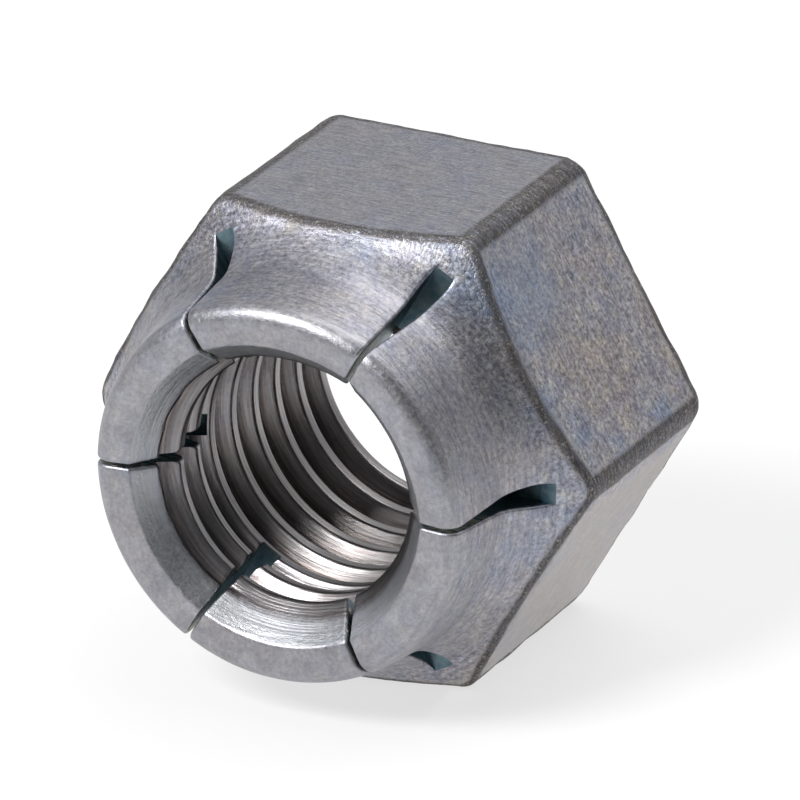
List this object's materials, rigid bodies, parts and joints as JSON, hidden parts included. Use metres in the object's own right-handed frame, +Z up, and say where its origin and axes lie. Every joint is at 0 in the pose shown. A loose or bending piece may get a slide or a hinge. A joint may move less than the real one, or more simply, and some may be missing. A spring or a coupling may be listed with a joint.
{
  "type": "slotted collar lock nut",
  "caption": "Hexagon nut with a slotted collar whose segments are pressed inwards to grip the bolt thread.",
  "frame": {"origin": "centre of the bearing face, on the thread axis", "axes": "+Y along the thread axis, out of the bearing face; the slotted collar looks along -Y; +Z up, square to the flat that lies uppermost; +X through a corner of the hexagon"},
  "size_m": [0.0206, 0.0153, 0.018],
  "materials": {
    "plated_steel": "zinc plated, dull, with fine cutting marks and slight stains"
  },
  "bodies": {
    "root": {"lock_nut": "plated_steel"}
  },
  "joints": []
}
